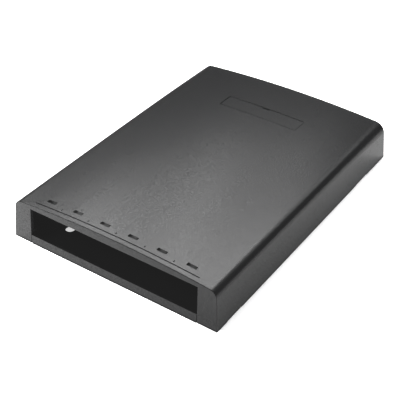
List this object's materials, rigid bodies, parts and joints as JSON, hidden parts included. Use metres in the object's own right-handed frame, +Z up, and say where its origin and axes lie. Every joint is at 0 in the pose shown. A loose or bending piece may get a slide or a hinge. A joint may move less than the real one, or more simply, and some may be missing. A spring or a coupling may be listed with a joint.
{
  "type": "surface mount outlet box housing",
  "caption": "Low moulded plastic outlet box: crowned lift-off cover with a wide front opening and release slots over a ribbed base tray, and a small label plate.",
  "frame": {"origin": "middle of the footprint, on the surface the box stands on", "axes": "+X across the width, +Y from the open front to the rear wall, +Z up"},
  "size_m": [0.142, 0.197, 0.0292],
  "materials": {
    "cover_plastic": "fine spark-textured black moulding",
    "base_plastic": "fine spark-textured black moulding",
    "plate_plastic": "fine spark-textured black moulding"
  },
  "bodies": {
    "tray": {"base": "base_plastic"},
    "lid": {"cover": "cover_plastic"},
    "plate": {"label_plate": "plate_plastic"}
  },
  "joints": [
    {"name": "cover_lift", "type": "slide", "parent": "tray", "child": "lid", "axis": [0, 0, 1], "range_m": [0, 0.045]},
    {"name": "plate_lift", "type": "slide", "parent": "lid", "child": "plate", "axis": [0, 0, 1], "range_m": [0, 0.008]}
  ]
}
